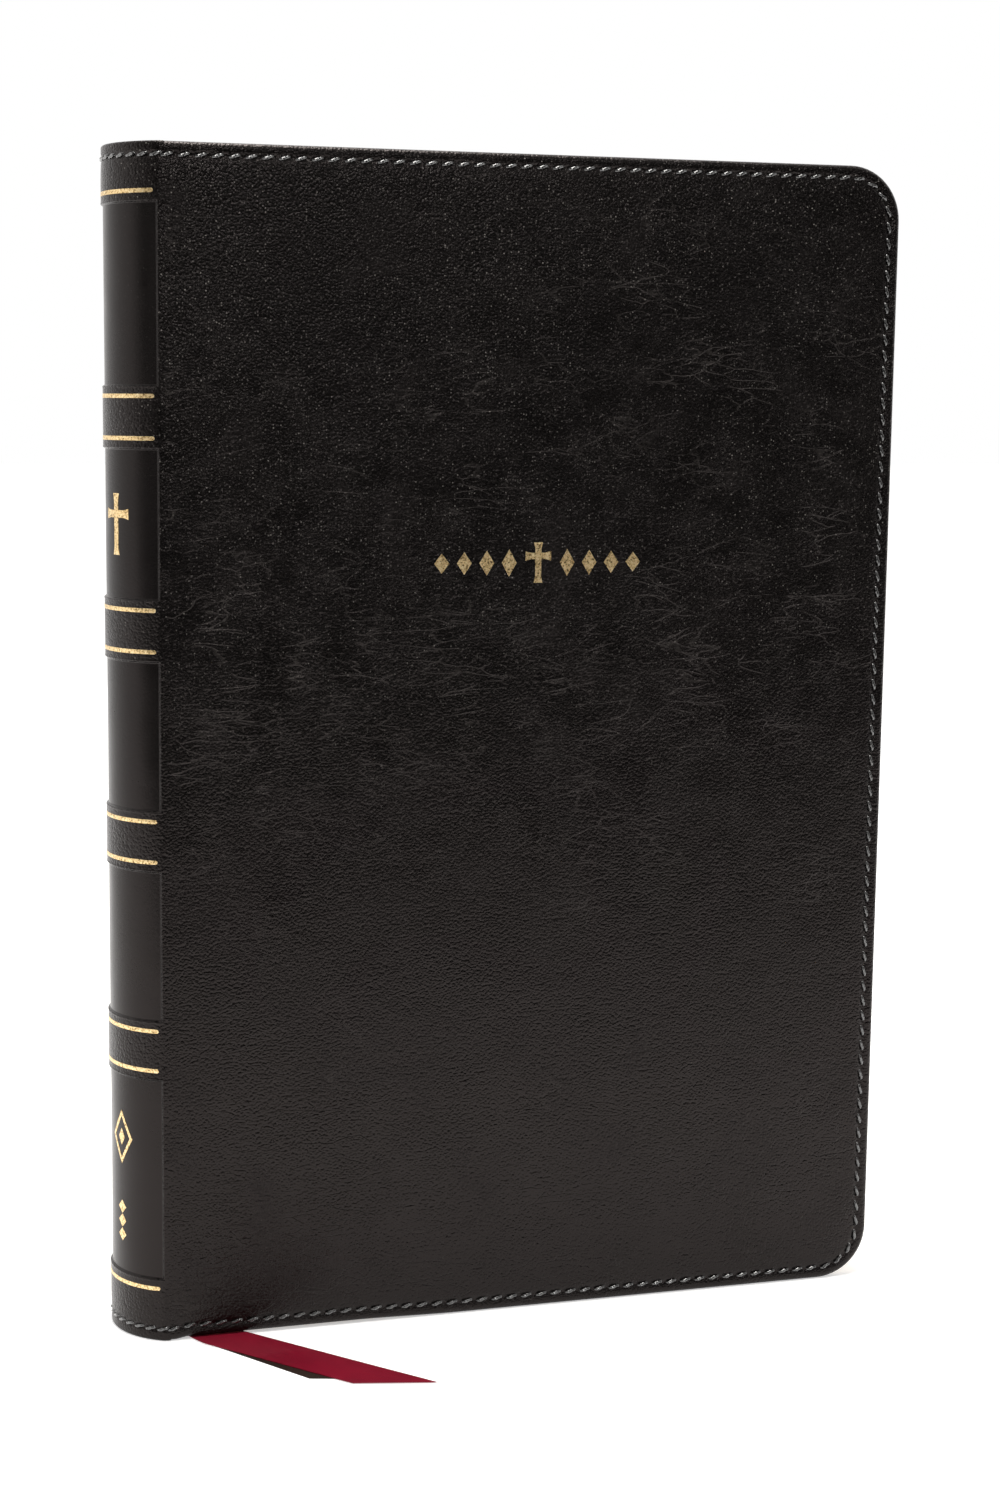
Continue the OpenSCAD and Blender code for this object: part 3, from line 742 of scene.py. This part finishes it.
def spine_marks():
    """A cross, an open lozenge and three diamonds, turned round the spine towards the front cover."""
    turn = math.radians(22)
    middle = SPINE_RUN / 2 - turn * ARC_R

    def place(points):
        run = middle - points[:, 0]
        z = points[:, 1]
        return spine_points(run, spine_relief(run, z) - points[:, 2] - FOIL_LIFT, z)

    outlines = [[(u, v + 170.6) for u, v in cross_outline(12.4, 8, 1.5)]]
    outlines += [lozenge_outline(11.5, 7.2, (0, 42.6)), lozenge_outline(9, 5.6, (0, 42.6)),
                 lozenge_outline(3.6, 2.2, (0, 42.6))]
    outlines += [lozenge_outline(2.8, 2.8, (0, 24.4 + 3 * k)) for k in (-1, 0, 1)]
    foil("spine_ornaments", outlines, place, 0.6, "spine", "spine_gold_marks")


def front_mark():
    """A small cross between two rows of lozenges that shrink outwards."""
    low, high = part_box("front_gold_mark")
    centre = (low + high) / 2

    def place(points):
        x, z = centre.x + points[:, 0], centre.z + points[:, 1]
        sunk = -0.07 * MM * undulation(x, z) * smoothstep((x - BEND_END_X) / (8 * MM))
        return np.stack([x, -HALF_T + sunk - points[:, 2] - FOIL_LIFT, z], -1)

    outlines = [cross_outline(8.4, 5.6, 1.3)]
    for side in (-1, 1):
        outlines += [lozenge_outline(5.6 - 0.5 * k, 3.2, (side * (6.4 + 4.9 * k), 0)) for k in range(4)]
    foil("front_ornament", outlines, place, 2.0, "front_cover", "front_gold_mark")


gold_rules()
spine_marks()
front_mark()


# -------- stitches
STITCH_L = 2.95 * MM
STITCH_SLANT = math.radians(17)


def stitch(centre, along, out, points, faces):
    """One slanted two-ply stitch, with ends that dive into the leather."""
    across = np.cross(out, along)
    direction = along * math.cos(STITCH_SLANT) + across * math.sin(STITCH_SLANT)
    side = np.cross(out, direction)
    sides, rings = 8, 11
    start = len(points)
    for t in np.linspace(-1, 1, rings):
        height = (0.16 - 0.62 * t ** 4) * MM
        middle = centre + direction * t * STITCH_L / 2 + out * height
        radius = THREAD_R * (1 - 0.3 * abs(t) ** 3)
        for k in range(sides):
            a = 2 * math.pi * k / sides
            twist = 1 + 0.16 * math.cos(2 * a - 7 * t)
            points.append(middle + radius * twist * (math.cos(a) * side + math.sin(a) * out))
    faces += tube_faces(rings, sides, start)


def seam_path():
    """The cover's stitches, evenly round it: each one's place in x and z, and its direction."""
    inner_r = CORNER_R - SEAM_INSET
    x0, x1 = JOINT_X + 1.1 * MM, FORE_X - CORNER_R
    low, high = SEAM_INSET, COVER_H - SEAM_INSET
    straight, arc, tall = x1 - x0, inner_r * math.pi / 2, COVER_H - 2 * CORNER_R
    total = 2 * straight + 2 * arc + tall
    count = int(round(total / STITCH_PITCH))
    for k in range(count + 1):
        s = total * k / count
        if s <= straight:
            yield (x0 + s, low), (1, 0)
            continue
        s -= straight
        if s <= arc:
            a = s / inner_r
            z = CORNER_R - inner_r * math.cos(a)
            yield (x1 + inner_r * math.sin(a), z), (math.cos(a), math.sin(a))
            continue
        s -= arc
        if s <= tall:
            yield (FORE_X - SEAM_INSET, CORNER_R + s), (0, 1)
            continue
        s -= tall
        if s <= arc:
            a = s / inner_r
            z = COVER_H - CORNER_R + inner_r * math.sin(a)
            yield (x1 + inner_r * math.cos(a), z), (-math.sin(a), math.cos(a))
            continue
        yield (x1 - (s - arc), high), (-1, 0)


def cover_stitches(side, name, node):
    points, faces = [], []
    for (x, z), (dx, dz) in seam_path():
        along = np.array([dx, 0, dz], float)
        lift = float(cover_lift(np.array(x))) if side < 0 and z < 5 * MM else 0
        for face, y in ((1, HALF_T - THREAD_R), (-1, HALF_T - COVER_LEATHER_T - INNER_STITCH_SINK)):
            centre = np.array([x, side * y, z + lift])
            stitch(centre, along * face, np.array([0.0, side * face, 0.0]), points, faces)
    made = make_object(name, points, faces, [BLACK_THREAD])
    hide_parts(node)
    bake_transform(made)


def spine_stitches():
    points, faces = [], []
    runs = steps(1.4 * MM, SPINE_RUN - 1.4 * MM, STITCH_PITCH * 0.86)
    for z in (SEAM_INSET, COVER_H - SEAM_INSET):
        for run in runs:
            flat, normal = spine_frame(run)
            out = np.array([normal[0], normal[1], 0])
            centre = np.array([flat[0], flat[1], z]) - out * THREAD_R
            stitch(centre, np.array([-normal[1], normal[0], 0]), out, points, faces)
    made = make_object("spine_thread", points, faces, [BLACK_THREAD])
    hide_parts("spine_stitching")
    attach(made, "spine")


cover_stitches(-1, "front_thread", "front_stitching")
cover_stitches(1, "back_thread", "back_stitching")
spine_stitches()


# -------- page block
def arc_x_at(y):
    """The text block's back at a distance y from the book's middle."""
    return JOINT_X + ARC_X - np.sqrt(FOLD_R ** 2 - np.asarray(y) ** 2)


def leaves(name, node, body, bend, leaf_steps):
    """One gathering, or a flyleaf: a plate of leaves whose fore-edge follows the book's hollow fore-edge."""
    low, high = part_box(node)
    side = -1 if (low.y + high.y) < 0 else 1
    out, inner = max(abs(low.y), abs(high.y)), min(abs(low.y), abs(high.y))
    thick = out - inner
    single = thick < 0.5 * MM
    turn_x = low.x
    start_x = turn_x - 0.8 * MM if single else float(arc_x_at(inner)) + 0.9 * MM
    rng = np.random.default_rng(int(round(out * 1e6)))
    edge = [(0.35 * MM, 0)]
    for share in np.linspace(0, 1, leaf_steps):
        edge.append((float(rng.uniform(-0.035, 0.035)) * MM, share * thick))
    edge.append((0.35 * MM, thick))
    corner = PAGE_CORNER_R
    bend_xs = np.arange(turn_x, turn_x + bend + MM, 0.6 * MM)
    xs = np.r_[steps(start_x, turn_x - 0.6 * MM, MM), bend_xs,
               steps(bend_xs[-1] + 4 * MM, high.x - corner, 6 * MM)]
    plate = Plate(xs, steps(PAGE_Z0 + corner, PAGE_Z1 - corner, 8 * MM), corner, edge, 10)
    plate.depth += HALF_T - out
    reach = HALF_T - plate.depth
    hollow = arc_x_at(reach) - arc_x_at(out)
    plate.x += hollow * smoothstep((plate.x - (high.x - 24 * MM)) / (24 * MM))
    if not single:
        middle = (out + inner) / 2
        fold = 1 - np.sqrt(np.clip(1 - ((reach - middle) / (thick / 2)) ** 2, 0, 1))
        near = 1 - smoothstep((plate.x - start_x) / (3 * MM))
        skew = arc_x_at(reach) - arc_x_at(inner)
        plate.x += near * (skew + 0.5 * fold * thick)
    slots = [1 if i < plate.edge_faces else 0 for i in range(len(plate.faces))]
    sheet = ENDPAPER if single else PAPER
    made = make_object(name, plate.points(side), plate.faces, [sheet, GILT], slots)
    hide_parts(node)
    if body == "spine":
        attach(made, "spine")
    else:
        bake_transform(made)


for number in range(1, 11):
    node = f"signature_{number:02d}"
    leaves(f"leaves_{number:02d}", node, "spine" if number in (5, 6) else node, 12 * MM, 9)
for end in ("front", "back"):
    leaves(f"{end}_endleaf", f"{end}_flyleaf", f"{end}_flyleaf", 10 * MM, 2)


def glued_backs():
    """Glued backs of the gatherings: a layer bent round the text block, inside the spine's outline."""
    outer, inner = ARC_R - 2.58 * MM, ARC_R - 2.93 * MM
    z0, z1 = PAGE_Z0 + 0.2 * MM, PAGE_Z1 - 0.2 * MM
    half_angle = math.asin(10.6 * MM / outer)
    angles = np.linspace(-half_angle, half_angle, 41)
    points = [(JOINT_X + ARC_X - r * math.cos(a), r * math.sin(a), z) for a in angles
              for r, z in ((outer, z0), (outer, z1), (inner, z1), (inner, z0))]
    made = make_object("spine_glue", points, tube_faces(len(angles), 4), [PAPER], smooth=False)
    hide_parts("text_block_spine")
    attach(made, "spine")


glued_backs()


def end_band(name, node):
    """Silk wound over a cord, bent round the end of the text block's back."""
    low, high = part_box(node)
    middle_z, r = (low.z + high.z) / 2, (high.z - low.z) / 2
    radius = ARC_R - 3.1 * MM
    half_angle = math.asin(min(0.99, high.y / radius))
    rings, sides = 241, 12
    points, uvs = [], []
    for i, a in enumerate(np.linspace(-half_angle, half_angle, rings)):
        outward = np.array([-math.cos(a), math.sin(a), 0])
        middle = np.array([JOINT_X + ARC_X, 0, middle_z]) + outward * radius
        wrap = 1 + 0.07 * math.cos(i * math.pi / 2)
        for k in range(sides):
            b = 2 * math.pi * k / sides
            round_cord = math.cos(b) * outward + math.sin(b) * np.array([0, 0, 1])
            points.append(middle + r * 0.94 * wrap * round_cord)
            uvs.append((a * radius, k / sides * 2 * math.pi * r))
    made = make_object(name, points, tube_faces(rings, sides), [SILK], uvs=uvs)
    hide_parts(node)
    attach(made, "spine")


end_band("head_band_silk", "head_band")
end_band("tail_band_silk", "tail_band")


# -------- ribbon markers
# Centres of each marker in millimetres, with x from the joint line, then the turn of its width in degrees and
# the width's stretch, for the slanted end. MARK_Y is the gap in the page block that a marker lies in.
MARK_Y = 2.228
RED_ROUTE = [
    (6.2, -MARK_Y, 242.6, 0, 1), (6.2, -MARK_Y, 130, 0, 1), (6.2, -MARK_Y, 10, 0, 1),
    (6.2, -MARK_Y, 3.2, 0, 1), (6.2, -MARK_Y - 0.2, 2.2, 2, 1), (6.3, -MARK_Y - 1, 1.1, 6, 1),
    (6.6, -MARK_Y - 2.6, 0.5, 12, 1), (8.1, -8.2, 0.27, 22, 1), (10.6, -14, 0.26, 36, 1),
    (13.4, -17.4, 0.26, 40.5, 1), (22, -27.5, 0.26, 40.5, 1), (31, -38, 0.26, 40.5, 1),
    (39.7, -48, 0.26, -13.3, 1.69),
]
DARK_ROUTE = [
    (5.6, MARK_Y, 242.6, 0, 1), (5.6, MARK_Y, 130, 0, 1), (5.6, MARK_Y, 10, 0, 1),
    (5.6, MARK_Y, 3.2, 0, 1), (5.6, MARK_Y - 0.2, 2.1, 0, 1), (5.7, MARK_Y - 1, 0.9, 2, 1),
    (5.9, MARK_Y - 2.8, 0.25, 6, 1), (7.4, -5, 0.085, 16, 1), (9.3, -10, 0.085, 26, 1),
    (11.3, -14, 0.085, 34, 1), (16.8, -22.1, 0.085, 34.3, 1), (24.6, -33.5, 0.085, 34.3, 1),
    (31.3, -43.3, 0.085, -16.5, 1.58),
]
RIBBON_W, RIBBON_T = 10 * MM, 0.14 * MM


def curve_through(stations, sub):
    """Points on a smooth curve through stations, sub for each stretch between two of them."""
    made = []
    for i in range(len(stations) - 1):
        a, b = stations[i], stations[i + 1]
        before = stations[max(i - 1, 0)]
        after = stations[min(i + 2, len(stations) - 1)]
        reach = np.linalg.norm(b - a)
        tangent_a = (b - before) / max(np.linalg.norm(b - before), 1e-9) * reach
        tangent_b = (after - a) / max(np.linalg.norm(after - a), 1e-9) * reach
        for t in np.linspace(0, 1, sub, endpoint=i == len(stations) - 2):
            made.append((2 * t**3 - 3 * t**2 + 1) * a + (t**3 - 2 * t**2 + t) * tangent_a
                        + (3 * t**2 - 2 * t**3) * b + (t**3 - t**2) * tangent_b)
    return np.array(made)


def ribbon(name, route, node, material):
    """One marker along its route, with selvedges a little thicker than its middle."""
    route = np.array(route, float)
    turn = np.radians(route[:, 3])
    half = RIBBON_W / 2 * route[:, 4:5] * np.stack([np.cos(turn), np.sin(turn), np.zeros(len(turn))], -1)
    centre = route[:, :3] * MM + np.array([JOINT_X, 0, 0])
    left, right = (curve_through(centre + s * half, 12) for s in (-1, 1))
    middle = (left + right) / 2
    run = np.r_[0, np.cumsum(np.linalg.norm(np.diff(middle, axis=0), axis=1))]
    heading = np.gradient(middle, axis=0)
    width = right - left
    up = np.cross(width, heading)
    up /= np.linalg.norm(up, axis=1)[:, None]
    up[-1] = up[-2]
    columns = 13
    ring = [(u, 1) for u in np.linspace(0, 1, columns)] + [(u, -1) for u in np.linspace(1, 0, columns)]
    points, uvs = [], []
    for i in range(len(middle)):
        for u, face in ring:
            selvedge = 1.0 if min(u, 1 - u) < 0.09 else 0.78
            height = face * RIBBON_T / 2 * selvedge
            points.append(left[i] + u * width[i] + up[i] * height)
            uvs.append((u * RIBBON_W, run[i]))
    made = make_object(name, points, tube_faces(len(middle), len(ring)), [material], uvs=uvs)
    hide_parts(node)
    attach(made, "spine")


ribbon("marker_red", RED_ROUTE, "ribbon_red", RED_SATIN)
ribbon("marker_dark", DARK_ROUTE, "ribbon_dark", DARK_SATIN)


# -------- CAD pieces that stay
for node, material in (
    ("spine_stiffener", BOARD), ("spine_kraft_lining", KRAFT), ("spine_mull", MULL),
    ("sewing_threads", LINEN_THREAD), ("front_pastedown", ENDPAPER), ("back_pastedown", ENDPAPER),
):
    kept = frame["nodes"][node]
    kept.data.materials.clear()
    kept.data.materials.append(material)


# -------- floor, light and camera
def plain(name, colour, roughness, strength=0.0):
    g = Graph(name)
    g.set(Base_Color=(*colour, 1), Roughness=roughness, Specular_IOR_Level=0.2)
    if strength:
        g.set(Emission_Color=(*colour, 1), Emission_Strength=strength)
    return g.material


def card(name, centre, size, facing, material):
    """Flat card, turned to face a point."""
    bpy.ops.mesh.primitive_plane_add(size=1)
    made = bpy.context.object
    made.name = name
    made.scale = (size[0], size[1], 1)
    made.location = centre
    aim = Vector(facing) - Vector(centre)
    made.rotation_euler = aim.to_track_quat("Z", "Y").to_euler()
    made.data.materials.append(material)
    return made


def area_light(name, centre, size, power, aim, colour=(1, 1, 1)):
    data = bpy.data.lights.new(name, "AREA")
    data.shape = "RECTANGLE"
    data.size, data.size_y = size
    data.energy = power
    data.color = colour
    made = bpy.data.objects.new(name, data)
    bpy.context.scene.collection.objects.link(made)
    made.location = centre
    made.rotation_euler = (Vector(aim) - Vector(centre)).to_track_quat("-Z", "Y").to_euler()


FLOOR = plain("floor_paper", (0.8, 0.8, 0.8), 0.7, 0.55)
BLACK_CARD = plain("flag_cloth", (0.004, 0.004, 0.004), 0.9)
card("floor", (0, 0, -0.00002), (14, 14), (0, 0, 1), FLOOR)
flag = card("front_flag", (0.2, -2.43, 0.004), (5.4, 4.2), (0.2, -2.43, 1), BLACK_CARD)
for ray in ("camera", "diffuse", "shadow", "transmission", "volume_scatter"):
    setattr(flag, "visible_" + ray, False)


def studio_world():
    """White to the eye, and a bright sweep behind and beside the book with a dark room in front of it."""
    world = bpy.data.worlds.new("studio")
    bpy.context.scene.world = world
    world.use_nodes = True
    tree = world.node_tree
    node = tree.nodes.new
    link = tree.links.new
    shown = tree.nodes["Background"]
    shown.inputs["Color"].default_value = (1, 1, 1, 1)
    at = node("ShaderNodeTexCoord")
    split = node("ShaderNodeSeparateXYZ")
    link(at.outputs["Generated"], split.inputs[0])
    turned = node("ShaderNodeMapRange")
    turned.inputs["From Min"].default_value = -1
    link(split.outputs["Y"], turned.inputs["Value"])
    ramp = node("ShaderNodeValToRGB")
    link(turned.outputs["Result"], ramp.inputs["Fac"])
    stops = ((0.0, 0.01), (0.1, 0.012), (0.18, 0.34), (0.26, 0.04), (0.47, 0.78), (0.85, 0.8))
    elements = ramp.color_ramp.elements
    while len(elements) < len(stops):
        elements.new(0.5)
    for element, (place, level) in zip(elements, stops):
        element.position = place
        element.color = (level, level * 0.98, level * 0.965, 1)
    room = node("ShaderNodeBackground")
    room.inputs["Strength"].default_value = 1.5
    link(ramp.outputs["Color"], room.inputs["Color"])
    seen = node("ShaderNodeLightPath")
    mix = node("ShaderNodeMixShader")
    link(seen.outputs["Is Camera Ray"], mix.inputs["Fac"])
    link(room.outputs["Background"], mix.inputs[1])
    link(shown.outputs["Background"], mix.inputs[2])
    link(mix.outputs["Shader"], tree.nodes["World Output"].inputs["Surface"])


studio_world()
area_light("key", (0.2, -1.4, 0.78), (0.1, 0.1), 2.6, (0.05, 0, 0.2))
area_light("top", (0.06, -0.02, 1.1), (0.34, 0.8), 13, (0.06, 0, 0.1), (1, 0.97, 0.93))

camera_data = bpy.data.cameras.new("camera")
camera = bpy.data.objects.new("camera", camera_data)
bpy.context.scene.collection.objects.link(camera)
bpy.context.scene.camera = camera
camera_data.sensor_width = 36
camera_data.lens = 59.568
camera_data.shift_x = 0.06
pan, tilt, roll = (math.radians(a) for a in (15.972, 7.994, 0.433))
forward = Vector((math.sin(pan) * math.cos(tilt), math.cos(pan) * math.cos(tilt), -math.sin(tilt)))
level = Vector((math.cos(pan), -math.sin(pan), 0))
rise = level.cross(forward)
right = math.cos(roll) * level + math.sin(roll) * rise
above = -math.sin(roll) * level + math.cos(roll) * rise
place = Matrix((right, above, -forward)).transposed().to_4x4()
place.translation = Vector((JOINT_X - 89.42 * MM, -HALF_T - 492.64 * MM, 195.61 * MM))
camera.matrix_world = place
bpy.context.scene.view_settings.view_transform = "Standard"
